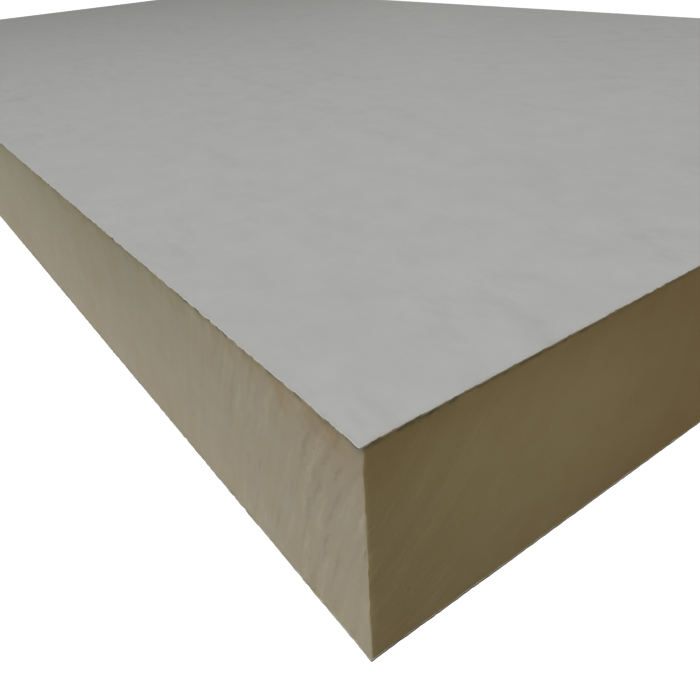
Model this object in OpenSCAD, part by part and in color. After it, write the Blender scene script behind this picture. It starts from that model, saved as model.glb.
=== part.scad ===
// Rigid foam insulation board, faced with fleece on both sides.
//
// The foam slab is made as a continuous sandwich between two facer sheets and then sawn to
// length and width, so the three layers share one outline and meet face to face. The board
// lies flat: X runs along its length, Y across its width and Z up through its thickness, with
// the origin at the centre of the underside.

/* [Board] */
// Length of the board, along X
board_length = 1200; // [300:50:3000]
// Width of the board, along Y
board_width = 600; // [200:50:1250]
// Overall thickness, measured over both facers
board_thickness = 80; // [20:5:200]

/* [Facers] */
// Thickness of the fleece sheet on each face
facer_thickness = 0.8; // [0.3:0.1:2]

/* [Hidden] */

// The foam fills what the two facers leave of the board's thickness.
foam_thickness = board_thickness - 2 * facer_thickness;
// Heights of the two bond lines, where each facer meets the foam
lower_bond = facer_thickness;
upper_bond = lower_bond + foam_thickness;

// The outline that one pass of the saws gives to all three layers
module sawn_outline() {
    square([board_length, board_width], center = true);
}

// One layer of the sandwich, from height z up through the given thickness
module layer(z, thickness) {
    translate([0, 0, z])
        linear_extrude(height = thickness)
            sawn_outline();
}

// The closed-cell foam slab, bare on its four sawn edges
module foam_core() {
    color("#9a8f73") layer(lower_bond, foam_thickness);
}

// The fleece sheet on the upper face
module top_facer() {
    color("#a9a9a7") layer(upper_bond, facer_thickness);
}

// The fleece sheet on the underside, which the board lies on
module bottom_facer() {
    color("#a9a9a7") layer(0, facer_thickness);
}

foam_core();
top_facer();
bottom_facer();
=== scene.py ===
# %% [markdown]
# # A faced foam insulation board
#
# The real board starts as a long sandwich: foam rises and sets between two sheets of grey
# fleece, and circular saws then cut the sandwich to length and width. So a board is three
# pieces: a slab of foam with four bare sawn edges, and a thin facer bonded to each face.
#
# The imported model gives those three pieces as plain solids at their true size. This lesson
# dresses each of them: the foam gets the marks of the saw, the facers get cut edges that the
# saw has nibbled, and every surface gets a finish made from nodes.

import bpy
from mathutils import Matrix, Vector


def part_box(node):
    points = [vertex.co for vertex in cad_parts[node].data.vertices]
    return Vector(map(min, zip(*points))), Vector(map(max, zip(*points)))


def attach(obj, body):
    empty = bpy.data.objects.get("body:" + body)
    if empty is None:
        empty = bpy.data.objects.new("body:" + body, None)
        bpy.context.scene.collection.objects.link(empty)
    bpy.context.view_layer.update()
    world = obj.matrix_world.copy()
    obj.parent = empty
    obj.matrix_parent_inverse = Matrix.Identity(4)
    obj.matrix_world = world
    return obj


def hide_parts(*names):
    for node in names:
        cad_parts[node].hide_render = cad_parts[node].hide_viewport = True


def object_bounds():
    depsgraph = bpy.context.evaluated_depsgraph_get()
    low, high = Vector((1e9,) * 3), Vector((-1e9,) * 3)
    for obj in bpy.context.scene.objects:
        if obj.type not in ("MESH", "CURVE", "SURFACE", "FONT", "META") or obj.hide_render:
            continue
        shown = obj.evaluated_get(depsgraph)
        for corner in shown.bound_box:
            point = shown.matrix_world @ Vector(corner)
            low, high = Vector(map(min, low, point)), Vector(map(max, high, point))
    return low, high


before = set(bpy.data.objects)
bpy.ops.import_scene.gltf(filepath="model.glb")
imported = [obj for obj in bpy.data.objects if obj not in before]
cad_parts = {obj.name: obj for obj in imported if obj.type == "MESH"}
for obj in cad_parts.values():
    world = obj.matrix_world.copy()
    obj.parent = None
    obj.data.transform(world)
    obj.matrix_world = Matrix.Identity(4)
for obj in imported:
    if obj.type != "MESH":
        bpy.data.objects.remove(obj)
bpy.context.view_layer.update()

# %% The modules and the main measures
import math

import bpy
from mathutils import Vector, noise

MM = 0.001
board_low, board_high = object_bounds()
foam_low, foam_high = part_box("foam_core")
top_low, top_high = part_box("top_facer")
bottom_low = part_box("bottom_facer")[0]
centre = (board_low + board_high) / 2

for node in ("foam_core", "top_facer", "bottom_facer"):
    low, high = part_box(node)
    print(node, "measures", [round(side / MM, 1) for side in high - low], "mm")

# %% [markdown]
# ## Small tools for modelling
#
# Blender's operators act on whatever is selected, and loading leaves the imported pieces
# selected. So every step starts by choosing one piece, and every edit picks its edges or
# faces by where they are. The helpers below do that. Two more turn a modifier, which is a live
# setting, into real shape, and one fills a vertex group, which says how strongly each point
# takes part in a step. A group has done its work once its step is applied, so it goes then.

# %% Helpers: choose a piece, choose its edges and faces, apply a modifier
def only(piece):
    """Make one piece the only selected and the active one."""
    bpy.ops.object.select_all(action="DESELECT")
    piece.select_set(True)
    bpy.context.view_layer.objects.active = piece


def pick_edges(piece, wanted):
    """Open the piece for editing with those edges selected for which wanted(start, end) is true."""
    only(piece)
    bpy.ops.object.mode_set(mode="EDIT")
    bpy.ops.mesh.select_mode(type="EDGE")
    bpy.ops.mesh.select_all(action="DESELECT")
    bpy.ops.object.mode_set(mode="OBJECT")
    points = piece.data.vertices
    for edge in piece.data.edges:
        start, end = (points[index].co for index in edge.vertices)
        edge.select = wanted(start, end)
    bpy.ops.object.mode_set(mode="EDIT")


def pick_faces(piece, wanted):
    """Open the piece for editing with those faces selected for which wanted(face) is true."""
    only(piece)
    bpy.ops.object.mode_set(mode="EDIT")
    bpy.ops.mesh.select_mode(type="FACE")
    bpy.ops.mesh.select_all(action="DESELECT")
    bpy.ops.object.mode_set(mode="OBJECT")
    for face in piece.data.polygons:
        face.select = wanted(face)
    bpy.ops.object.mode_set(mode="EDIT")


ALIGNED = 0.99              # an edge lined up this well with an axis runs along it


def along(axis):
    """A test for edges that run along axis 0, 1 or 2."""
    return lambda start, end: abs((end - start).normalized()[axis]) > ALIGNED


def apply(piece, modifier):
    """Turn a modifier into real shape."""
    only(piece)
    bpy.ops.object.modifier_apply(modifier=modifier.name)


def push(piece, group, direction, distance):
    """Move points along a direction by distance times their weight, then drop the vertex group."""
    modifier = piece.modifiers.new(group, "DISPLACE")
    modifier.vertex_group = group
    modifier.direction = direction
    modifier.strength = distance
    modifier.mid_level = 0.0
    apply(piece, modifier)
    piece.vertex_groups.remove(piece.vertex_groups[group])


def weigh(piece, group_name, weight_at):
    """Fill a vertex group: weight_at(place) says how strongly each point takes part."""
    group = piece.vertex_groups.new(name=group_name)
    touched = 0
    for point in piece.data.vertices:
        weight = weight_at(point.co)
        if weight > 0.0:
            group.add([point.index], min(weight, 1.0), "REPLACE")
            touched += 1
    print(piece.name, group_name, "weighs on", touched, "of", len(piece.data.vertices), "points")


# %% [markdown]
# ## The foam slab
#
# The slab is a block, and everything that makes it look real is on its four edges. It starts
# as a cube at the slab's size. It is made a hair smaller all round, because foam is softer
# than the fleece and the saw scuffs it back a little behind the facers' edges.
#
# Its four upright corners are rounded slightly, as sawn foam never keeps a razor edge. The two
# large faces lie under the facers, so they come off for now and are put back at the end. Then
# the four edges are divided into a fine net, so that there are enough points to carry the saw
# marks, and none are spent where nobody looks.

# %% The foam block
SIDE_SCUFF = 0.4 * MM      # how far the foam lies behind the facers' edges on the long sides
END_SCUFF = 0.3 * MM       # and at the ends
CORNER_ROUND = 0.8 * MM    # rounding of the upright corners
CORNER_STEPS = 3           # flat steps in that rounding
LEVEL = 0.5                # a face whose normal points this much up or down is a large face

bpy.ops.object.select_all(action="DESELECT")
slab_size = foam_high - foam_low - Vector((2 * END_SCUFF, 2 * SIDE_SCUFF, 0))
bpy.ops.mesh.primitive_cube_add(
    size=1, location=(foam_low + foam_high) / 2, scale=slab_size, calc_uvs=False)
foam = bpy.context.object
foam.name = "foam_slab"
bpy.ops.object.transform_apply(location=True, rotation=True, scale=True)

pick_edges(foam, along(2))
bpy.ops.mesh.bevel(offset=CORNER_ROUND, segments=CORNER_STEPS, affect="EDGES")
bpy.ops.object.mode_set(mode="OBJECT")

pick_faces(foam, lambda face: abs(face.normal.z) > LEVEL)
bpy.ops.mesh.delete(type="ONLY_FACE")
bpy.ops.object.mode_set(mode="OBJECT")
print("the ring of edges has", len(foam.data.polygons), "faces before it is divided")

# %% The fine net on the sawn edges
ROWS = 32                  # divisions of the slab's height
PANEL = 100 * MM           # the long runs are first split into panels of this length
CUTS_IN_PANEL = 79         # and each panel is then cut this many times


def divide(piece, axis, cuts):
    """Cut every edge that runs along the axis into equal parts."""
    pick_edges(piece, along(axis))
    bpy.ops.mesh.subdivide(number_cuts=cuts)
    bpy.ops.object.mode_set(mode="OBJECT")


divide(foam, 2, ROWS - 1)
for axis in (0, 1):
    panels = round(slab_size[axis] / PANEL)
    divide(foam, axis, panels - 1)
    divide(foam, axis, CUTS_IN_PANEL)
print("foam net:", len(foam.data.vertices), "points,", len(foam.data.polygons), "faces")

# %% [markdown]
# ## The marks of the saw
#
# A circular saw leaves arcs. Every tooth sweeps along the blade's rim, so each mark is a piece
# of a circle as large as the blade, and the next mark is the same arc moved on by the feed.
# The long sides were cut by a large blade with its spindle under the table, so their arcs lean
# a little at the foot and more at the top. The ends were cut by a smaller blade hung above the
# board, so their arcs cross on a slant, and it ran finer, so they are smoother.
#
# The trick that makes all of this simple is one coordinate: the distance along the cut, minus
# the arc's own offset at that height. Along one saw mark that number stays the same. The same
# coordinate drives the real relief here and the fine scratches in the finish further on, so
# the two always agree.

# %% The saw's own coordinate
SIDE_BLADE = 350 * MM       # radius of the blade that cut the long sides
SIDE_SPINDLE = -88 * MM     # and the height of its spindle
SIDE_FEED = 4.2 * MM        # how far apart its marks lie
END_BLADE = 230 * MM        # the same for the blade that cut the ends
END_SPINDLE = 203 * MM
END_FEED = 9.0 * MM


def on_long_side(place):
    """True for a point on a long side, false for one on an end."""
    side_gap = min(abs(place.y - foam_low.y), abs(place.y - foam_high.y))
    end_gap = min(abs(place.x - foam_low.x), abs(place.x - foam_high.x))
    return side_gap < end_gap


def blade_offset(height, radius, spindle):
    """How far the blade's rim has swung sideways at a height."""
    return math.sqrt(radius ** 2 - (height - spindle) ** 2)


def cut_distance(place, long_side):
    """The distance along the cut, the same all along one saw mark."""
    if long_side:
        return place.x + blade_offset(place.z, SIDE_BLADE, SIDE_SPINDLE)
    return place.y - blade_offset(place.z, END_BLADE, END_SPINDLE)


print("a mark on a long side leans over by",
      round((cut_distance(Vector((0, 0, foam_low.z)), True)
             - cut_distance(Vector((0, 0, foam_high.z)), True)) / MM), "mm")

# %% [markdown]
# The depth of the marks varies. A faint wave with the feed's spacing runs all along the cut, bent
# by slow noise because the blade wanders. On top of it, single teeth tear deeper and leave
# broken marks a few centimetres long. The blade shivers where it enters and leaves the board,
# so both are deepest near the corners. The result is a weight from 0 to 1 for each point, kept
# in a vertex group, and a Displace modifier then pushes each point inwards by its weight.

# %% How lively the blade ran
SHIVER_REACH = 110 * MM     # how far from a corner the blade still shivers
CALM = 0.25                 # what is left of the marks beyond that


def shiver(place, long_side):
    """How lively the blade ran at a point: 1 at a corner, falling to CALM further in."""
    corner_gap = board_high.x - abs(place.x) if long_side else board_high.y - abs(place.y)
    return CALM + (1 - CALM) * max(0.0, 1 - corner_gap / SHIVER_REACH)


print("the blade shivers within", round(SHIVER_REACH / MM), "mm of a corner")

# %% Cut the saw marks into the net
MARK_DEPTH = 0.3 * MM
REST_DEPTH = 0.5            # a point that no mark touches is pushed in by this share of it
WAVE_SHARE = 0.10           # what the even wave adds to that
TEAR_SHARE = 0.9            # and what a torn mark adds
END_SHARE = 0.3             # the ends keep this share of all of it
WANDER_SIZE = 45 * MM       # length over which the spacing drifts
WANDER_RISE = 0.3           # the drift runs this much slower up the edge than along it
WANDER_MARKS = 1.5          # and moves a mark by up to this many times the feed
TEAR_SIZE = Vector((6.5, 0, 26)) * MM   # size of a torn mark, across and along the arc
TEAR_SEED = 3.7
FAINT_TEAR = 0.3            # a torn mark fainter than this fades out


def saw_weight(place):
    """How deep the saw has cut at a point on the slab's edge, from 0 to 1."""
    long_side = on_long_side(place)
    feed = SIDE_FEED if long_side else END_FEED
    distance = cut_distance(place, long_side)
    drift = noise.noise(Vector((distance, place.z * WANDER_RISE, 0.0)) / WANDER_SIZE)
    wave = math.sin(2 * math.pi * (distance / feed + WANDER_MARKS * drift))
    tear = noise.noise(Vector((distance / TEAR_SIZE.x, place.z / TEAR_SIZE.z, TEAR_SEED)))
    tear = tear * min(1.0, abs(tear) / FAINT_TEAR)
    depth = REST_DEPTH + shiver(place, long_side) * (WAVE_SHARE * wave + TEAR_SHARE * tear)
    return depth if long_side else END_SHARE * depth


weigh(foam, "saw_marks", saw_weight)
push(foam, "saw_marks", "NORMAL", -MARK_DEPTH)

# %% [markdown]
# The blade that cut the long sides stood a hair out of square, so the foam there leans back
# towards the top, and the upper facer stands out past it more than the lower one does.

# %% Lean the long sides back
LEAN = 0.25 * MM


def lean_weight(place, side):
    """How far a point on one long side leans back: 0 at the foot and 1 at the top."""
    if abs(place.y - side * slab_size.y / 2) > CORNER_ROUND:
        return 0.0
    return (place.z - foam_low.z) / (foam_high.z - foam_low.z)


for side in (-1, 1):
    weigh(foam, f"lean_{side}", lambda place: lean_weight(place, side))
    push(foam, f"lean_{side}", "Y", -side * LEAN)

# %% [markdown]
# ### Crumbled rims
#
# Where the foam meets a facer, the saw teeth tear out small crumbs, deepest under the upper
# facer of the long sides, where the coarse teeth come out of the board. Only the top and bottom
# rows of points take part, and only where the noise rises above a threshold, so the rim keeps
# long sound stretches with bites between them. The four upright corners are chipped too, along
# X and along Y in turn, so that no corner stays a ruled line.

# %% Crumble the rims
CRUMB_DEPTH = 0.8 * MM
CRUMB_LENGTH = 3.5 * MM
CRUMB_SLOPE = 1.6           # how steeply a crumb deepens with the noise
SOUND_SHARE = 0.1           # the noise has to rise above this before a crumb is lost
SHALLOW = 0.35              # crumbs anywhere but under the long sides' upper rim
RIM_BAND = (foam_high.z - foam_low.z) / ROWS * 0.5      # half a row, so only the outermost points


def crumb_weight(place):
    """How much of the rim is lost at a point, from 0 to 1."""
    rim_gap = min(place.z - foam_low.z, foam_high.z - place.z)
    if rim_gap > RIM_BAND:
        return 0.0
    coarse = on_long_side(place) and place.z > centre.z
    share = 1.0 if coarse else SHALLOW
    return CRUMB_SLOPE * share * (noise.noise(place / CRUMB_LENGTH) - SOUND_SHARE)


weigh(foam, "crumbs", crumb_weight)
push(foam, "crumbs", "NORMAL", -CRUMB_DEPTH)

# %% Chip the upright corners
CHIP_DEPTH = 0.45 * MM      # how far the upright corners are chipped back
CHIP_SHARE, CHIP_LENGTH = 0.8, 3 * MM
SWAY_SHARE, SWAY_LENGTH = 0.6, 16 * MM      # a corner also wears back in slow waves
WORN_SHARE = 0.18           # what is worn off on average
CORNER_BAND = 1.6 * CORNER_ROUND            # points this close to a corner belong to it
SEED_STEP = 9.0             # sets the chips along X apart from those along Y


def chip_weight(place, seed):
    """How far a point on an upright corner is chipped back, from 0 to 1."""
    corner_gap = (abs(abs(place.x - centre.x) - slab_size.x / 2)
                  + abs(abs(place.y - centre.y) - slab_size.y / 2))
    if corner_gap > CORNER_BAND:
        return 0.0
    spot = Vector((place.x, seed, place.z))
    chip = CHIP_SHARE * noise.noise(spot / CHIP_LENGTH)
    sway = SWAY_SHARE * noise.noise(spot / SWAY_LENGTH)
    return max(0.0, WORN_SHARE + (chip + sway))


for axis, direction in ((0, "X"), (1, "Y")):
    for side in (-1, 1):
        group = f"chips_{direction}_{side}"
        weigh(foam, group, lambda place: chip_weight(place, SEED_STEP * axis + side)
              if place[axis] * side > centre[axis] * side else 0.0)
        push(foam, group, direction, -side * CHIP_DEPTH)

# %% Put the two large faces back
only(foam)
bpy.ops.object.mode_set(mode="EDIT")
bpy.ops.mesh.select_mode(type="VERT")
bpy.ops.mesh.select_all(action="SELECT")
bpy.ops.mesh.fill_holes(sides=0)
bpy.ops.mesh.normals_make_consistent(inside=False)
bpy.ops.object.mode_set(mode="OBJECT")
print("closed slab:", len(foam.data.polygons), "faces")

# %% [markdown]
# ### A map for the finish
#
# A UV map usually flattens a piece for a picture. Here it holds the saw's coordinate: U is the
# distance along the cut with the arc straightened out, and V is the height, both in metres. A
# scratch in the finish that runs straight along V then follows the arc on the real edge.

# %% Store the saw's coordinate as a UV map
CUT_MAP = "cut"
FOAM_CREASE = math.radians(40)      # only edges sharper than this stay sharp


def store_cut_map(piece):
    """Write the saw's coordinate of each face corner into a UV map."""
    mesh = piece.data
    corners = mesh.uv_layers.new(name=CUT_MAP).data
    for face in mesh.polygons:
        long_side = abs(face.normal.y) > abs(face.normal.x)
        for index in face.loop_indices:
            place = mesh.vertices[mesh.loops[index].vertex_index].co
            corners[index].uv = (cut_distance(place, long_side), place.z)


store_cut_map(foam)
only(foam)
bpy.ops.object.shade_smooth_by_angle(angle=FOAM_CREASE)
print("foam slab finished with", len(foam.data.polygons), "faces")

# %% [markdown]
# ## The facers
#
# Each facer is a sheet less than a millimetre thick. Seen from above it is a plain rectangle,
# so the work is in its outline and its flatness: the saw leaves the fleece with small nibbles,
# the corners are worn round, and the sheet follows the slight waves of the foam.
#
# A grid of coarse squares is enough for the waves, but the outline needs a point on every half
# millimetre. So only the outline is divided finely. The sheet gets its thickness last, from a
# Solidify modifier, and a Bevel modifier softens its two rims.

# %% The flat sheet
TRIM = 0.03 * MM            # the sheet's straight cut lies this far inside the board's box
GRID_STEP = 20 * MM
OUTLINE_CUTS = 39           # cuts in each grid step along the outline


def flat_sheet(name, height):
    """A grid at a height, as large as the board, with a finely divided outline."""
    bpy.ops.object.select_all(action="DESELECT")
    size = board_high - board_low - Vector((2 * TRIM, 2 * TRIM, 0))
    bpy.ops.mesh.primitive_grid_add(
        x_subdivisions=round(size.x / GRID_STEP), y_subdivisions=round(size.y / GRID_STEP),
        size=1, location=(centre.x, centre.y, height), calc_uvs=False)
    sheet = bpy.context.object
    sheet.name = name
    sheet.scale = (size.x, size.y, 1)
    bpy.ops.object.transform_apply(location=True, rotation=True, scale=True)
    print(name, "starts with", len(sheet.data.polygons), "squares")
    return sheet


# %% Worn corners
SLIGHT_WEAR = 0.6 * MM
HEAVY_WEAR = 1.8 * MM       # the back left corner has been knocked more than the others
WEAR_STEPS = 4              # straight steps in a worn corner
CORNER_SPOT = 1 * MM        # a point this close to two edges of the board is a corner


def at_corner(place):
    """True for a point at one of the board's four corners."""
    return (abs(place.x - centre.x) > board_high.x - CORNER_SPOT
            and abs(place.y - centre.y) > board_high.y - CORNER_SPOT)


def round_corners(sheet):
    """Round the outline's four corners, the back left one most."""
    for heavy in (False, True):
        bpy.ops.object.mode_set(mode="EDIT")
        bpy.ops.mesh.select_mode(type="VERT")
        bpy.ops.mesh.select_all(action="DESELECT")
        bpy.ops.object.mode_set(mode="OBJECT")
        for point in sheet.data.vertices:
            knocked = point.co.x < centre.x and point.co.y > centre.y
            point.select = at_corner(point.co) and knocked == heavy
        bpy.ops.object.mode_set(mode="EDIT")
        bpy.ops.mesh.bevel(offset=HEAVY_WEAR if heavy else SLIGHT_WEAR,
                           segments=WEAR_STEPS, affect="VERTICES")
        bpy.ops.object.mode_set(mode="OBJECT")


# %% A finely divided outline
def divide_outline(sheet):
    """Put a point on every half millimetre of the sheet's outline."""
    bpy.ops.object.mode_set(mode="EDIT")
    bpy.ops.mesh.select_mode(type="EDGE")
    bpy.ops.mesh.select_all(action="SELECT")
    bpy.ops.mesh.region_to_loop()
    bpy.ops.object.mode_set(mode="OBJECT")
    points = sheet.data.vertices
    for edge in sheet.data.edges:
        start, end = (points[index].co for index in edge.vertices)
        edge.select = edge.select and (end - start).length > GRID_STEP / 2
    bpy.ops.object.mode_set(mode="EDIT")
    bpy.ops.mesh.subdivide(number_cuts=OUTLINE_CUTS)
    bpy.ops.object.mode_set(mode="OBJECT")


# %% [markdown]
# The nibbles are pushed in from each of the four edges in turn. A vertex group per edge says
# how deep each point goes. It adds up four kinds of wear: the slow waver of the saw's path, the
# uneven bite of its teeth, the fray of the fibres, and now and then a nick where a few fibres
# were pulled out.

# %% Nibble the outline and wave the sheet
EDGE_BAND = 0.1 * MM        # points this close to the board's box belong to the outline
WEAR_DEPTH = 1.0 * MM       # a weight of 1 would push a point in this far
WAVER, WAVER_LENGTH = 0.12, 9.0 * MM
BITE, BITE_LENGTH = 0.32, 2.6 * MM
FRAY, FRAY_LENGTH = 0.12, 1.0 * MM
MEAN_WEAR = 0.5             # each of these three swings about this share of itself
NICK, NICK_LENGTH = 0.8, 1.8 * MM
NICK_RARITY = 0.3           # the noise has to rise above this before a nick appears
END_WEAR = 0.7              # the finer blade left the ends this much of the wear
CORNER_CALM = 3.0 * MM      # towards a corner the wear fades out, so that no two sides cross
SHEET_WAVE = 0.15 * MM      # how far the sheet's face dips between the high spots
WAVE_LENGTH = 110 * MM
MEAN_DIP = 0.5
INWARDS = {"right": ("X", -1), "left": ("X", 1), "back": ("Y", -1), "front": ("Y", 1)}


def edge_gap(place, edge):
    """Distance of a point from one edge of the board."""
    return {
        "right": board_high.x - place.x,
        "left": place.x - board_low.x,
        "back": board_high.y - place.y,
        "front": place.y - board_low.y,
    }[edge]


def nick_weight(place, edge, seed):
    """How deep the outline is nibbled at a point on one edge, from 0 to 1."""
    if edge_gap(place, edge) > EDGE_BAND:
        return 0.0
    spot = Vector((place.x, place.y, seed))
    depth = NICK * max(0.0, noise.noise(spot / NICK_LENGTH) - NICK_RARITY)
    for share, length in ((WAVER, WAVER_LENGTH), (BITE, BITE_LENGTH), (FRAY, FRAY_LENGTH)):
        depth += share * max(0.0, MEAN_WEAR + noise.noise(spot / length))
    to_corner = sorted(edge_gap(place, name) for name in INWARDS)[1]
    return depth * min(1.0, to_corner / CORNER_CALM)


def nibble(sheet, seed, wear):
    """Push the outline in from its four edges: wear 1 is a full share, less is gentler."""
    for edge, (direction, sign) in INWARDS.items():
        weigh(sheet, edge, lambda place: nick_weight(place, edge, seed))
        share = END_WEAR if direction == "X" else 1.0
        push(sheet, edge, direction, sign * share * wear * WEAR_DEPTH)


def wave(sheet, inward, seed):
    """Let the sheet dip slightly between its high spots, towards the foam."""
    weigh(sheet, "waves", lambda place: MEAN_DIP + MEAN_DIP
          * noise.noise(Vector((place.x, place.y, seed)) / WAVE_LENGTH))
    push(sheet, "waves", "Z", inward * SHEET_WAVE)


# %% [markdown]
# Both facers are the same sheet, laid face out: the top one hangs its thickness below the
# board's upper face, and the bottom one builds it up from the underside. The bottom sheet stays
# flat, because the board lies on it, and its edges are less worn, because the saw table held
# them.

# %% Give the sheets their thickness
FACER_THICKNESS = top_high.z - top_low.z
RIM_SOFTENING = 0.18 * MM
RIM_STEPS = 2
RIM_CREASE = math.radians(60)       # a rim is an edge sharper than this
SHEET_CREASE = math.radians(15)     # shading turns sharp past this, or the soft rims look dented


def thicken(sheet, inward):
    """Give the sheet its thickness towards the foam and soften its rims."""
    solid = sheet.modifiers.new("thickness", "SOLIDIFY")
    solid.thickness = FACER_THICKNESS
    solid.offset = inward
    apply(sheet, solid)
    soft = sheet.modifiers.new("rims", "BEVEL")
    soft.width = RIM_SOFTENING
    soft.segments = RIM_STEPS
    soft.limit_method = "ANGLE"
    soft.angle_limit = RIM_CREASE
    apply(sheet, soft)
    only(sheet)
    bpy.ops.object.mode_set(mode="EDIT")
    bpy.ops.mesh.select_all(action="SELECT")
    bpy.ops.mesh.normals_make_consistent(inside=False)
    bpy.ops.object.mode_set(mode="OBJECT")
    bpy.ops.object.shade_smooth_by_angle(angle=SHEET_CREASE)


def make_facer(name, height, inward, seed, wear):
    """One facer, from its outer face at a height, with its thickness towards the foam."""
    sheet = flat_sheet(name, height)
    round_corners(sheet)
    divide_outline(sheet)
    nibble(sheet, seed, wear)
    if inward < 0:
        wave(sheet, inward, seed)
    thicken(sheet, inward)
    print(name, "has", len(sheet.data.polygons), "faces")
    return sheet


top_facer = make_facer("top_fleece", top_high.z, inward=-1, seed=0.0, wear=1.0)
bottom_facer = make_facer("bottom_fleece", bottom_low.z, inward=1, seed=7.0, wear=0.6)

# %% [markdown]
# ## Finishes
#
# A finish could be a painted picture. Here it is a chain of nodes instead, which has no seams,
# stays sharp from close by and can be changed one number at a time. A few helpers keep the
# chains short. The first empties a node tree and hands back a function that adds nodes to it.
# The others each add one step: some arithmetic, one colour laid over another, a tint, soft
# noise, and a window that stretches part of a value's range to the full 0 to 1. The last two
# add the shader itself, with a little relief too fine for the mesh, and lay two finishes on a
# piece.

# %% Helpers: start a node tree and do arithmetic
def node_adder(tree):
    """Empty a node tree and hand back a function that adds nodes to it."""
    tree.nodes.clear()

    def add(kind, inputs=None, **settings):
        """Add a node, with its settings, and link or set its inputs."""
        item = tree.nodes.new(kind)
        for key, value in settings.items():
            setattr(item, key, value)
        for key, value in (inputs or {}).items():
            if isinstance(value, bpy.types.NodeSocket):
                tree.links.new(value, item.inputs[key])
            else:
                item.inputs[key].default_value = value
        return item

    return add


def new_finish(name):
    """An empty material and a function that adds nodes to it."""
    material = bpy.data.materials.new(name)
    material.use_nodes = True
    return material, node_adder(material.node_tree)


def calc(add, operation, first, second=0.0):
    """One step of arithmetic."""
    return add("ShaderNodeMath", {0: first, 1: second}, operation=operation).outputs[0]


def plus(add, first, second):
    """One value and another together."""
    return calc(add, "ADD", first, second)


def minus(add, first, second):
    """One value less another."""
    return calc(add, "SUBTRACT", first, second)


def times(add, first, second):
    """One value times another."""
    return calc(add, "MULTIPLY", first, second)


# %% Helpers: colours and noise
MIX_FACTOR, MIX_FIRST, MIX_SECOND = 0, 6, 7     # a Mix node's sockets for colours
MIX_RESULT = 2


def blend_colours(add, factor, first, second, mode="MIX"):
    """Lay one colour over another."""
    mix = add("ShaderNodeMix", data_type="RGBA", blend_type=mode)
    for index, value in ((MIX_FACTOR, factor), (MIX_FIRST, first), (MIX_SECOND, second)):
        if isinstance(value, bpy.types.NodeSocket):
            mix.id_data.links.new(value, mix.inputs[index])
        else:
            mix.inputs[index].default_value = (*value, 1) if isinstance(value, tuple) else value
    return mix.outputs[MIX_RESULT]


def tinted(add, colour, factor, tint):
    """Multiply a colour by a tint, as far as the factor says."""
    return blend_colours(add, factor, colour, tint, "MULTIPLY")


def brightened(add, colour, factor, low, high):
    """Multiply a colour by a brightness that goes from low to high with the factor."""
    return tinted(add, colour, 1.0, blend_colours(add, factor, (low,) * 3, (high,) * 3))


def grain(add, vector, scale, detail=2.0, roughness=0.5, distortion=0.0):
    """Soft noise from 0 to 1 that repeats nowhere, with about scale patches to the metre."""
    return add("ShaderNodeTexNoise", {
        "Vector": vector, "Scale": scale, "Detail": detail,
        "Roughness": roughness, "Distortion": distortion}).outputs["Fac"]


def window(add, value, low, high):
    """Stretch the part of a value between low and high to the full 0 to 1."""
    return add("ShaderNodeMapRange", {"Value": value, "From Min": low, "From Max": high}).outputs[0]


def from_corner(add, run_place, run, start, end):
    """0 at a distance start from the board's corners along axis run, and 1 at a distance end."""
    return window(add, calc(add, "ABSOLUTE", run_place), board_high[run] - start, board_high[run] - end)


# %% Helpers: the shader, and two finishes on one piece
def surface(add, colour, relief, roughness, gloss, strength, depth):
    """The shader: a colour, its finest relief, and how rough and how glossy it is."""
    bump = add("ShaderNodeBump", {"Height": relief, "Strength": strength, "Distance": depth})
    shader = add("ShaderNodeBsdfPrincipled", {
        "Base Color": colour, "Roughness": roughness, "Specular IOR Level": gloss,
        "Normal": bump.outputs[0]})
    add("ShaderNodeOutputMaterial", {"Surface": shader.outputs[0]})


def lay_on(piece, main, other, wanted):
    """Give a piece its main finish, and the other where wanted(face) is true."""
    piece.data.materials.clear()
    piece.data.materials.append(main)
    piece.data.materials.append(other)
    pick_faces(piece, wanted)
    piece.active_material_index = 1
    bpy.ops.object.material_slot_assign()
    bpy.ops.object.mode_set(mode="OBJECT")
    count = sum(face.material_index for face in piece.data.polygons)
    print(piece.name, "has", count, "faces with the finish", other.name)


# %% [markdown]
# ### Sawn foam
#
# The foam is a warm tan, lighter in some places than in others, as the foam rose unevenly, and
# darker next to the facers, partly because it is denser there and partly as painted shade. The
# ends get a browner, deeper tint than the long sides, which is painted shade, as the ends stand
# in shade. The two kinds of cut share one finish, and a set of values for each says how much it
# shows of everything that follows.

# %% The two kinds of cut
FOAM_BROWN = (0.276, 0.219, 0.142)
FOAM_TAN = (0.318, 0.280, 0.203)

SIDE_LOOK = {
    "run": 0,                   # the axis that the cut runs along
    "shade_and_drift_tints": ((0.985, 0.985, 0.985), (1.0, 1.0, 1.0)),      # the tint drifts between these
    "inner_foot": (1.0, 1.0, 1.0),      # away from the corners, the foot is tinted like this
    "inner_top": (0.86, 0.93, 0.92),    # and the top like this
    "painted_top_shade": 0.10,         # painted shade: how much darker the top is than the foot, which catches light off the floor
    "torn_share": 0.15,         # how strongly torn marks show,
    "scratch_share": 0.015,     # scratches,
    "streak_share": 0.0,        # and pale streaks
    "skin_and_shade_share": 0.10,         # how much darker the foam is next to both facers: denser foam and painted shade
    "brown_share": 0.8,         # how brown it is under the upper facer
    "painted_light_share": 0.0,          # painted light: how much paler it is a little way in from the corners
}
END_LOOK = {
    "run": 1,
    # painted shade: the ends' browner, deeper tint
    "shade_and_drift_tints": ((0.875, 0.802, 0.562), (0.975, 0.912, 0.683)),
    "inner_foot": (1.0, 0.92, 0.85),
    "inner_top": (1.0, 0.98, 0.94),
    "painted_top_shade": 0.0,
    "torn_share": 0.025,
    "scratch_share": 0.005,
    "streak_share": 0.19,
    # on the ends most of this darkening is painted shade
    "skin_and_shade_share": 0.45,
    "brown_share": 0.3,
    "painted_light_share": 0.14,
}
print("each cut is described by", len(SIDE_LOOK), "values")

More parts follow.
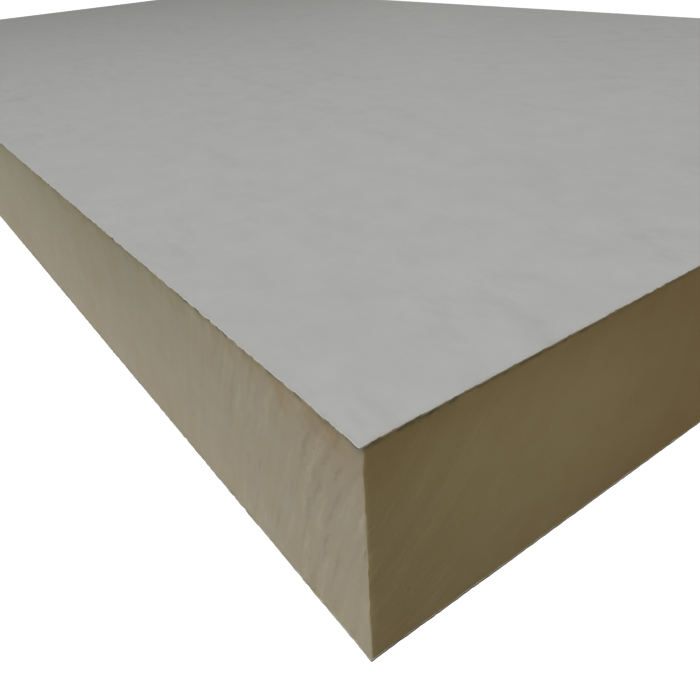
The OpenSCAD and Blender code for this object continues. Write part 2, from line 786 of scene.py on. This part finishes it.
# %% [markdown]
# The saw shows in three ways, and all of them run along V of the cut map. Torn marks are noise
# stretched along V. Taking the difference of two such noises, one shifted a little, gives every
# mark a light flank and a dark flank, as a real ridge has. Fine scratches are the same noise
# made narrower, and pale streaks are only its highest crests, low down near the corners. Torn
# marks are strongest near the corners too, where the blade shivered.

# %% Torn marks, scratches and streaks
MARK_STRETCH = 0.18         # a torn mark's noise runs this much slower along the arc
SCRATCH_STRETCH = 0.03      # and a scratch's noise this much
MARK_SHIFT = 0.9 * MM       # the light flank lies this far from the dark flank
SIDEWAYS = 2.2 * MM         # how far a torn mark wanders from its arc
JAG_GRAIN, MARK_GRAIN, SCRATCH_GRAIN, STREAK_GRAIN = 240, 120, 420, 330
REAL_MARK = (0.01, 0.07)    # a flank fainter than the first is no mark, past the second a full one
FLANK_RANGE = (-0.09, 0.09)
CREST = (0.60, 0.72)        # the part of the noise that stands out as a streak
STREAK_REACH = (0.85, 0.45)     # streaks fade in from the first share of the height to the second
LEAST_TORN = 0.1            # what is left of the torn marks away from the corners


def drawn_out(add, vector, stretch, shift=0.0):
    """The saw's coordinate, so that noise on it is drawn out along the arc."""
    return add("ShaderNodeMapping", {
        "Vector": vector, "Location": (shift, 0, 0), "Scale": (1.0, stretch, 1.0)}).outputs[0]


def torn_arcs(add, space, cut):
    """The saw's coordinate for the dark and for the light flanks, with jagged arcs."""
    jag = minus(add, grain(add, space, JAG_GRAIN, detail=4.0, roughness=0.6), 0.5)
    sideways = add("ShaderNodeCombineXYZ", {0: times(add, jag, 2 * SIDEWAYS)}).outputs[0]
    torn = add("ShaderNodeVectorMath", {0: cut, 1: sideways}, operation="ADD").outputs[0]
    return drawn_out(add, torn, MARK_STRETCH), drawn_out(add, torn, MARK_STRETCH, MARK_SHIFT)


def torn_marks(add, here, beside, lively):
    """From 0 on the dark flank of a mark to 1 on its light flank."""
    flank = minus(add, grain(add, here, MARK_GRAIN), grain(add, beside, MARK_GRAIN))
    flank = times(add, flank, window(add, calc(add, "ABSOLUTE", flank), *REAL_MARK))
    strength = plus(add, times(add, lively, 1 - LEAST_TORN), LEAST_TORN)
    return window(add, times(add, flank, strength), *FLANK_RANGE)


def pale_streaks(add, here, height, lively):
    """Only the highest crests, low down and close to the corners."""
    crests = window(add, grain(add, here, STREAK_GRAIN, detail=1.0), *CREST)
    low_down = window(add, height, *(share * foam_high.z for share in STREAK_REACH))
    return times(add, times(add, crests, low_down), calc(add, "POWER", lively, 2.0))


# %% Burst cells
PIT_GRAIN, PIT_PATCHES = 330.0, 75
PIT_RIM = (0.24, 0.10)      # a pit deepens between these distances from its middle
PIT_RARITY = (0.58, 0.68)   # and pits come only in some patches


def burst_cells(add, space):
    """Dark pits where the saw opened a large cell."""
    dots = add("ShaderNodeTexVoronoi", {"Vector": space, "Scale": PIT_GRAIN}, feature="F1")
    patches = window(add, grain(add, space, PIT_PATCHES, detail=1.0), *PIT_RARITY)
    return times(add, window(add, dots.outputs["Distance"], *PIT_RIM), patches)


# %% [markdown]
# The foam's tone adds up clouds, smaller blotches, a fall towards the top, which is painted
# shade as the foot catches light off the floor, and the darker foam next to both facers, partly
# denser foam and partly painted shade. A tint goes over it, which drifts slowly from place to
# place and changes from the corners inwards. A paler zone of painted light lies on the way there.

# %% The tone and the tints of the foam
CLOUD_GRAIN, CLOUD_SHARE = 22, 0.85
BLOTCH_GRAIN, BLOTCH_SHARE = 95, 0.60
TONE_OFFSET = 0.075
PAINTED_RISE_SHADE = 0.3             # painted shade: how far the tone falls from the foot to the top, as the foot catches light off the floor
SKIN_START = 0.35           # the darker foam, denser and in painted shade, starts at this share of the way to a facer
TINT_SHIFT = (-0.56, 0.07, -0.45)       # picks a stretch of the slow drift
TINT_GRAIN, TINT_DRIFT = 7, (0.40, 0.60)
CORNER_REACH = 140 * MM     # from a corner inwards the tint changes over this length


def foam_tone(add, space, height, rise, skin_and_shade_share):
    """How far the foam goes from brown, at 0, to tan, at 1."""
    half = (foam_high.z - foam_low.z) / 2
    off_middle = calc(add, "ABSOLUTE", minus(add, height, foam_low.z + half))
    clouds = times(add, grain(add, space, CLOUD_GRAIN, detail=3.0), CLOUD_SHARE)
    blotches = times(add, grain(add, space, BLOTCH_GRAIN), BLOTCH_SHARE)
    tone = plus(add, plus(add, clouds, blotches), TONE_OFFSET)
    tone = minus(add, tone, times(add, rise, PAINTED_RISE_SHADE))
    # darker next to both facers: denser foam and painted shade
    return minus(add, tone, times(add, window(add, off_middle, SKIN_START * half, half), skin_and_shade_share))


def drifting_tint(add, colour, space, shade_and_drift_tints):
    """Tint a colour by a shade that drifts slowly between two."""
    shifted = add("ShaderNodeMapping", {"Vector": space, "Location": TINT_SHIFT}).outputs[0]
    drift = window(add, grain(add, shifted, TINT_GRAIN), *TINT_DRIFT)
    return tinted(add, colour, 1.0, blend_colours(add, drift, *shade_and_drift_tints))


def inner_tints(add, colour, run_place, rise, look):
    """Change the tint from the corners inwards, with a paler zone of painted light on the way."""
    inner = from_corner(add, run_place, look["run"], 0.0, CORNER_REACH)
    tint = blend_colours(add, calc(add, "POWER", rise, 2.0), look["inner_foot"], look["inner_top"])
    colour = tinted(add, colour, calc(add, "POWER", inner, 2.0), tint)
    # x (1 - x) times 4 and x x (1 - x) times 6.75 are humps that reach 1
    hump_along = times(add, times(add, minus(add, 1.0, inner), inner), 4.0)
    hump_up = times(add, times(add, rise, rise), times(add, minus(add, 1.0, rise), 6.75))
    # painted light: the paler zone on the way in from the corners
    return brightened(add, colour, times(add, hump_along, hump_up), 1.0, 1 + look["painted_light_share"])


# %% [markdown]
# Right under the upper facer the foam is browner and lumpy, except at the very corners, and the
# last two millimetres are the bond, dense and dark. The bond is broken into short stretches, and
# the cut edge of the facer is stained in the same stretches, so both read the same noise.

# %% Under the upper facer
SKIN = 8.0 * MM             # height of the browner, lumpy foam
LUMP_GRAIN, LUMP_LEVEL = 130, 0.52
LUMP_SWING = 45 * MM        # the lumps carry its lower edge up and down by the noise times this
SKIN_GRAIN, SKIN_PATCHES = 25, (0.42, 0.58)
SKIN_WARM = (0.955, 0.885, 0.76)
SKIN_OLIVE = (0.915, 0.905, 0.775)
CLEAN_CORNER = (3 * MM, 11 * MM)        # the brown starts between these distances from a corner
BOND_LINE = 2.0 * MM        # height of the dense dark foam of the bond
BOND_RAGGED = 3 * MM        # how far its lower edge strays up and down
RAG_GRAIN, STRETCH_GRAIN, DARK_STRETCH = 500, 150, (0.45, 0.57)
SOUND_BOND, STAINED_BOND = 0.1, 0.85    # how dark a sound and a stained stretch of the bond are
INNER_BOND = 0.35           # what is left of that away from the corners
BOND_COLOUR = (0.105, 0.098, 0.048)


def dark_stretches(add, space):
    """1 where the bond of foam and facer is dense and stained, 0 where it is sound."""
    return window(add, grain(add, space, STRETCH_GRAIN), *DARK_STRETCH)


def browned_skin(add, colour, space, height, run_place, look):
    """Brown the foam right under the upper facer."""
    lumps = times(add, minus(add, grain(add, space, LUMP_GRAIN, detail=3.0), LUMP_LEVEL), LUMP_SWING)
    browned = window(add, plus(add, height, lumps), foam_high.z - SKIN, foam_high.z)
    patches = window(add, grain(add, space, SKIN_GRAIN), *SKIN_PATCHES)
    browned = times(add, browned, from_corner(add, run_place, look["run"], *CLEAN_CORNER))
    return tinted(add, colour, times(add, browned, look["brown_share"]),
                  blend_colours(add, patches, SKIN_WARM, SKIN_OLIVE))


def bond_line(add, colour, space, height, lively):
    """Darken the bond, most of all in its dark stretches and near the corners."""
    ragged = times(add, minus(add, grain(add, space, RAG_GRAIN), 0.5), BOND_RAGGED)
    bond = window(add, plus(add, height, ragged), foam_high.z - BOND_LINE, foam_high.z)
    dense = plus(add, times(add, dark_stretches(add, space), STAINED_BOND - SOUND_BOND), SOUND_BOND)
    dense = times(add, dense, plus(add, times(add, lively, 1 - INNER_BOND), INNER_BOND))
    return blend_colours(add, times(add, bond, dense), colour, BOND_COLOUR)


# %% The whole foam finish
CELL_GRAIN = 2400           # the small cells, felt rather than seen
SCRATCH_SHOW = (0.3, 0.7)
PIT_STRENGTH, PIT_SHADE = 0.5, 0.80     # how much of a pit shows, and how dark it would get
SCRATCH_RELIEF, CELL_RELIEF, TORN_RELIEF, PIT_RELIEF = 40, 0.5, 0.8, 1.2


def foam_finish(name, look):
    """Sawn foam with one of the two looks."""
    material, add = new_finish(name)
    space = add("ShaderNodeTexCoord").outputs["Object"]
    cut = add("ShaderNodeUVMap", uv_map=CUT_MAP).outputs["UV"]
    place = add("ShaderNodeSeparateXYZ", {0: space}).outputs
    height, run_place = place[2], place[look["run"]]
    rise = window(add, height, foam_low.z, foam_high.z)
    lively = from_corner(add, run_place, look["run"], SHIVER_REACH, 0.0)

    here, beside = torn_arcs(add, space, cut)
    torn = torn_marks(add, here, beside, lively)
    scratches = grain(add, drawn_out(add, cut, SCRATCH_STRETCH), SCRATCH_GRAIN, detail=3.0)
    pits = burst_cells(add, space)

    tone = foam_tone(add, space, height, rise, look["skin_and_shade_share"])
    colour = blend_colours(add, tone, FOAM_BROWN, FOAM_TAN)
    for factor, low, high in (
        # painted shade: the top darker than the foot
        (rise, 1 + look["painted_top_shade"] / 2, 1 - look["painted_top_shade"] / 2),
        (torn, 1 - look["torn_share"], 1 + look["torn_share"]),
        (window(add, scratches, *SCRATCH_SHOW), 1 - look["scratch_share"], 1 + look["scratch_share"]),
        (pale_streaks(add, here, height, lively), 1.0, 1 + look["streak_share"]),
        (times(add, pits, PIT_STRENGTH), 1.0, PIT_SHADE),
    ):
        colour = brightened(add, colour, factor, low, high)
    # on the ends this tint is painted shade as well as a slow drift
    colour = drifting_tint(add, colour, space, look["shade_and_drift_tints"])
    colour = inner_tints(add, colour, run_place, rise, look)
    colour = browned_skin(add, colour, space, height, run_place, look)
    colour = bond_line(add, colour, space, height, lively)

    relief = plus(add, times(add, scratches, SCRATCH_RELIEF * look["scratch_share"]),
                  times(add, grain(add, space, CELL_GRAIN, detail=1.0), CELL_RELIEF))
    relief = plus(add, relief, times(add, torn, TORN_RELIEF))
    relief = minus(add, relief, times(add, pits, PIT_RELIEF))
    surface(add, colour, relief, roughness=0.92, gloss=0.15, strength=0.5, depth=0.14 * MM)
    print(name, "has", len(material.node_tree.nodes), "nodes")
    return material


# %% Finish the foam
END_FACE = 0.85             # a face whose normal points this much along X is part of an end

side_foam = foam_finish("side_foam", SIDE_LOOK)
end_foam_in_painted_shade = foam_finish("end_foam_in_painted_shade", END_LOOK)
lay_on(foam, side_foam, end_foam_in_painted_shade, lambda face: abs(face.normal.x) > END_FACE)

# %% [markdown]
# ### Fleece
#
# The facer is a mat of fine mineral fibres under a smooth grey coating. From a step away it is
# an even, matte grey with faint clouds where the mat is thicker or thinner, and a scatter of
# slightly darker flecks drawn out along the board, the way the mat was laid. Foam dust is ground
# into its rims. Close up the fibres show as hair-thin lines in every direction. Each layer of
# fibres here is noise squeezed into long thin streaks and turned to its own angle.

# %% Fibres
FIBRE_ANGLES = (8, 52, 97, 141)
FIBRE_SPACING, FIBRE_LENGTH = 0.9 * MM, 14 * MM
FIBRE_EDGE = 0.03           # where the noise is this close to its middle value, a fibre runs


def fibres(add, space, angle):
    """Thin lines at an angle: 1 on a fibre and 0 between fibres."""
    turned = add("ShaderNodeMapping", {
        "Vector": space, "Rotation": (0, 0, math.radians(angle))}).outputs[0]
    drawn = add("ShaderNodeMapping", {
        "Vector": turned, "Scale": (1 / FIBRE_LENGTH, 1 / FIBRE_SPACING, 1 / FIBRE_SPACING)}).outputs[0]
    field = grain(add, drawn, 1.0, detail=0.0, distortion=0.6)
    return window(add, calc(add, "ABSOLUTE", minus(add, field, 0.5)), FIBRE_EDGE, 0.0)


def fibre_mat(add, space):
    """All layers of fibres, one over another."""
    mat = fibres(add, space, FIBRE_ANGLES[0])
    for angle in FIBRE_ANGLES[1:]:
        mat = calc(add, "MAXIMUM", mat, fibres(add, space, angle))
    return mat


# %% The fleece finish
FLEECE_DARK = (0.398, 0.401, 0.398)
FLEECE_LIGHT = (0.428, 0.431, 0.430)
FIBRE_COLOUR = (0.50, 0.50, 0.49)
FLECK_TINT = (0.915, 0.915, 0.915)
DUST_TINT = (0.95, 0.88, 0.79)
MOTTLE_GRAIN, MOTTLE_SHARE = 60, 0.7
DRIFT_GRAIN, DRIFT_SHARE = 7, 0.3
TONE_RANGE = (0.34, 0.66)
LAID = (0.5, 1.0, 1.0)      # flecks are drawn out along X by halving its pace
FLECK_GRAIN, FLECK_RANGE = 75, (0.50, 0.72)
PATCH_GRAIN, PATCH_RANGE = 14, (0.40, 0.60)
FIBRE_SHOW = 0.10           # how strongly the fibres tell against the coating
RIM_DUST = 1.8 * MM         # the rims carry ground-in foam dust this far in
DUST_GRAIN, DUST_RANGE = 260, (0.30, 0.60)
GRIT_GRAIN = 1500           # grit in the coating, felt rather than seen
FIBRE_RELIEF, GRIT_RELIEF = 0.4, 0.6


def fleece_finish():
    """The grey coated face of the facers."""
    material, add = new_finish("fleece")
    space = add("ShaderNodeTexCoord").outputs["Object"]
    mat = fibre_mat(add, space)

    mottle = times(add, grain(add, space, MOTTLE_GRAIN, detail=4.0, roughness=0.65), MOTTLE_SHARE)
    drift = times(add, grain(add, space, DRIFT_GRAIN), DRIFT_SHARE)
    tone = window(add, plus(add, mottle, drift), *TONE_RANGE)
    colour = blend_colours(add, tone, FLEECE_DARK, FLEECE_LIGHT)
    laid = add("ShaderNodeMapping", {"Vector": space, "Scale": LAID}).outputs[0]
    flecks = window(add, grain(add, laid, FLECK_GRAIN, detail=3.0, roughness=0.65), *FLECK_RANGE)
    patches = window(add, grain(add, laid, PATCH_GRAIN, detail=1.0), *PATCH_RANGE)
    colour = tinted(add, colour, times(add, flecks, patches), FLECK_TINT)
    colour = blend_colours(add, times(add, mat, FIBRE_SHOW), colour, FIBRE_COLOUR)

    place = add("ShaderNodeSeparateXYZ", {0: space}).outputs
    rim_gap = calc(add, "MINIMUM", *(minus(add, board_high[axis], calc(add, "ABSOLUTE", place[axis]))
                                     for axis in (0, 1)))
    dust = times(add, window(add, rim_gap, RIM_DUST, 0.0),
                 window(add, grain(add, space, DUST_GRAIN, detail=3.0), *DUST_RANGE))
    colour = tinted(add, colour, dust, DUST_TINT)
    relief = plus(add, times(add, mat, FIBRE_RELIEF),
                  times(add, grain(add, space, GRIT_GRAIN), GRIT_RELIEF))
    surface(add, colour, relief, roughness=0.88, gloss=0.25, strength=0.35, depth=0.06 * MM)
    print("fleece has", len(material.node_tree.nodes), "nodes")
    return material


# %% [markdown]
# The cut edge shows the raw mat. Some short stretches of it are stained dark, and between them
# it is the colour of the foam that soaked into it. The inner side of the fleece, where it stands
# out past the foam, gets the same finish. On the ends the upper edge is browner, like the end
# foam, which is painted shade, least of all right at the corners. Down by the floor the long
# sides are paler, which is painted light from the floor, and the ends are darker, which is
# painted shade where the board meets the floor.

# %% The cut edge and the inner side of the fleece
STAINED = ((0.050, 0.046, 0.024), (0.140, 0.130, 0.080))
SOAKED = (0.345, 0.308, 0.220)
END_SHADE_BROWN = (0.275, 0.230, 0.135)
PAINTED_FLOOR_LIGHT = ((0.222, 0.218, 0.162), (0.350, 0.342, 0.270))
PAINTED_CONTACT_SHADE = (0.03, 0.028, 0.02)
SHRED_GRAIN, PLY_GRAIN, EDGE_RANGE = 900, 350, (0.7, 1.3)
PLY_SQUEEZE = (1, 1, 6)     # the plies of the mat lie flat, so noise on them runs faster in Z
SOAKED_SHARE = 0.95
END_NORMAL = (0.6, 0.8)     # a spot is on an end once its normal points this much along X
BY_THE_FLOOR = (5 * MM, 2 * MM)     # the painted floor light and contact shade fade in between these heights
DARK_CORNER = (10 * MM, 60 * MM)    # the ends' upper edge gets browner between these distances
CORNER_BROWN, INNER_BROWN = 0.40, 0.85      # from the first of these shares to the second
PAINTED_CONTACT_SHARE = 0.72


def cut_fleece_finish():
    """The raw mat where the saw went through it."""
    material, add = new_finish("cut_fleece")
    coordinates = add("ShaderNodeTexCoord").outputs
    space = coordinates["Object"]
    place = add("ShaderNodeSeparateXYZ", {0: space}).outputs
    facing = add("ShaderNodeSeparateXYZ", {0: coordinates["Normal"]}).outputs
    at_end = window(add, calc(add, "ABSOLUTE", facing[0]), *END_NORMAL)
    low_down = window(add, place[2], *BY_THE_FLOOR)

    shreds = grain(add, space, SHRED_GRAIN, detail=3.0, roughness=0.7)
    flat = add("ShaderNodeMapping", {"Vector": space, "Scale": PLY_SQUEEZE}).outputs[0]
    tone = window(add, plus(add, shreds, grain(add, flat, PLY_GRAIN, detail=1.0)), *EDGE_RANGE)
    colour = blend_colours(add, tone, *STAINED)
    sound = minus(add, 1.0, dark_stretches(add, space))
    colour = blend_colours(add, times(add, sound, SOAKED_SHARE), colour, SOAKED)
    # painted light: the long sides' cut edges paler by the floor
    floor_light = times(add, low_down, minus(add, 1.0, at_end))
    colour = blend_colours(add, floor_light, colour, blend_colours(add, tone, *PAINTED_FLOOR_LIGHT))
    browned = from_corner(add, place[1], 1, *DARK_CORNER)
    browned = plus(add, times(add, browned, INNER_BROWN - CORNER_BROWN), CORNER_BROWN)
    # painted shade: the ends' upper cut edge browned like the end foam
    high_end = times(add, minus(add, 1.0, low_down), at_end)
    colour = blend_colours(add, times(add, high_end, browned), colour, END_SHADE_BROWN)
    # painted shade: the ends' cut edges darkened where the board meets the floor
    contact_shade = times(add, times(add, low_down, at_end), PAINTED_CONTACT_SHARE)
    colour = blend_colours(add, contact_shade, colour, PAINTED_CONTACT_SHADE)
    surface(add, colour, shreds, roughness=0.95, gloss=0.1, strength=0.8, depth=0.2 * MM)
    print("cut_fleece has", len(material.node_tree.nodes), "nodes")
    return material


# %% Finish the facers
FACE_OUT = 0.35             # a face that points outwards less than this belongs to the cut edge

fleece = fleece_finish()
cut_fleece = cut_fleece_finish()
for facer, outwards in ((top_facer, 1), (bottom_facer, -1)):
    lay_on(facer, fleece, cut_fleece, lambda face: face.normal.z * outwards < FACE_OUT)

# %% [markdown]
# ## Hand the pieces to the imported model
#
# Each new piece stands for one imported node, which is hidden, and rides on the board's only
# body.

# %% Ride and replace
for piece, node, slot in (
    (foam, "foam_core", "foam"),
    (top_facer, "top_facer", "facer"),
    (bottom_facer, "bottom_facer", "facer"),
):
    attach(piece, "root")
    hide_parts(node)
    print(piece.name, "stands for", node)

# %% [markdown]
# ## The studio
#
# The board lies on a white floor under soft light. To the eye the floor glows almost white, and
# a little plain diffuse white on top of that keeps a hint of the board's shadow. Further away
# the glow alone is white, so the floor has no visible end. To the light it is a plain grey
# floor, so it does not flood the board from below.

# %% The floor
FLOOR_SIZE = 16
FLOOR_GREY = (0.35, 0.35, 0.35, 1)
NEAR_GLOW, NEAR_RADIUS = 0.86, 1.0      # the glow around the board, up to this distance
FAR_GLOW, FAR_RADIUS = 1.0, 2.5         # and from this distance on

bpy.ops.object.select_all(action="DESELECT")
bpy.ops.mesh.primitive_plane_add(size=FLOOR_SIZE, location=(centre.x, centre.y, board_low.z))
floor = bpy.context.object
floor.name = "floor"

white_floor, add = new_finish("white_floor")
paths = add("ShaderNodeLightPath").outputs
seen = calc(add, "MAXIMUM", paths["Is Camera Ray"],
            calc(add, "MAXIMUM", paths["Is Glossy Ray"], paths["Is Transmission Ray"]))
plain = add("ShaderNodeBsdfDiffuse", {"Color": FLOOR_GREY}).outputs[0]
off_board = add("ShaderNodeVectorMath", {
    0: add("ShaderNodeTexCoord").outputs["Object"]}, operation="LENGTH").outputs["Value"]
whiteness = add("ShaderNodeMapRange", {
    "Value": off_board, "From Min": NEAR_RADIUS, "From Max": FAR_RADIUS,
    "To Min": NEAR_GLOW, "To Max": FAR_GLOW}).outputs[0]
glow = add("ShaderNodeEmission", {"Color": (1, 1, 1, 1), "Strength": whiteness}).outputs[0]
white = add("ShaderNodeAddShader", {0: glow, 1: plain}).outputs[0]
add("ShaderNodeOutputMaterial", {"Surface": add(
    "ShaderNodeMixShader", {0: seen, 1: plain, 2: white}).outputs[0]})
floor.data.materials.append(white_floor)
print("the floor lies at", board_low.z)

# %% [markdown]
# Three lamps light the board. One hangs over the near corner and lights the upper face, which
# therefore darkens gently towards the far end. A large one stands low in front of the long side
# and leaves the end in shade. A small one lies low behind the board: it skims past the upper
# face and only keeps the two far edges from going black. The world adds a dim warm light.

# %% The lamps
near_corner = Vector((board_high.x, board_low.y, board_high.z))


def lamp(name, place, target, size, power, colour):
    """A square soft lamp at a place, turned towards a target, both seen from the near corner."""
    light = bpy.data.lights.new(name, "AREA")
    light.shape = "SQUARE"
    light.size = size
    light.energy = power
    light.color = colour
    fixture = bpy.data.objects.new(name, light)
    fixture.location = near_corner + Vector(place)
    aim = near_corner + Vector(target) - fixture.location
    fixture.rotation_euler = aim.to_track_quat("-Z", "Y").to_euler()
    bpy.context.scene.collection.objects.link(fixture)
    print(name, "lamp,", power, "W")


lamp("ceiling", place=(0.6, -0.4, 2.2), target=(-0.3, 0.2, 0),
     size=0.8, power=42.5, colour=(1.0, 1.0, 1.0))
lamp("front", place=(-0.4, -3.5, 0.15), target=(-0.3, 0, 0),
     size=1.6, power=122, colour=(0.89, 0.935, 1.0))
lamp("back", place=(-3.6, 3.2, 0), target=(-0.6, 0.3, 0),
     size=0.3, power=45, colour=(1.0, 0.98, 0.92))

# %% The world
world = bpy.data.worlds.new("studio")
bpy.context.scene.world = world
world.use_nodes = True
add = node_adder(world.node_tree)
ambient = add("ShaderNodeBackground", {"Color": (1.0, 0.98, 0.86, 1), "Strength": 0.2}).outputs[0]
backdrop = add("ShaderNodeBackground", {"Color": (1, 1, 1, 1), "Strength": 1.0}).outputs[0]
seen = add("ShaderNodeLightPath").outputs["Is Camera Ray"]
add("ShaderNodeOutputWorld", {"Surface": add(
    "ShaderNodeMixShader", {0: seen, 1: ambient, 2: backdrop}).outputs[0]})
print("the world has", len(world.node_tree.nodes), "nodes")

# %% [markdown]
# ## The camera
#
# The camera looks down over the front right corner from very close, so the near edge is large
# and the far end runs away steeply. It is tipped a few degrees, as a camera held by hand.

# %% The camera
CAMERA_FROM_CORNER = Vector((88.03, -61.67, 94.67)) * MM
AIM_FROM_CORNER = Vector((-33.20, 16.83, 0.0)) * MM
TIP = math.radians(4.49)

camera_data = bpy.data.cameras.new("camera")
camera_data.sensor_width = 36
camera_data.lens = 33.85
camera_data.shift_x = 0.0238
camera_data.shift_y = 0.0085
camera_data.clip_start = 0.01
camera = bpy.data.objects.new("camera", camera_data)
camera.location = near_corner + CAMERA_FROM_CORNER
view_direction = AIM_FROM_CORNER - CAMERA_FROM_CORNER
camera.rotation_euler = view_direction.to_track_quat("-Z", "Y").to_euler()
camera.rotation_euler.rotate_axis("Z", -TIP)
bpy.context.scene.collection.objects.link(camera)
bpy.context.scene.camera = camera
bpy.context.scene.view_settings.view_transform = "Standard"
print("the camera is", round(CAMERA_FROM_CORNER.length / MM), "mm from the near corner")
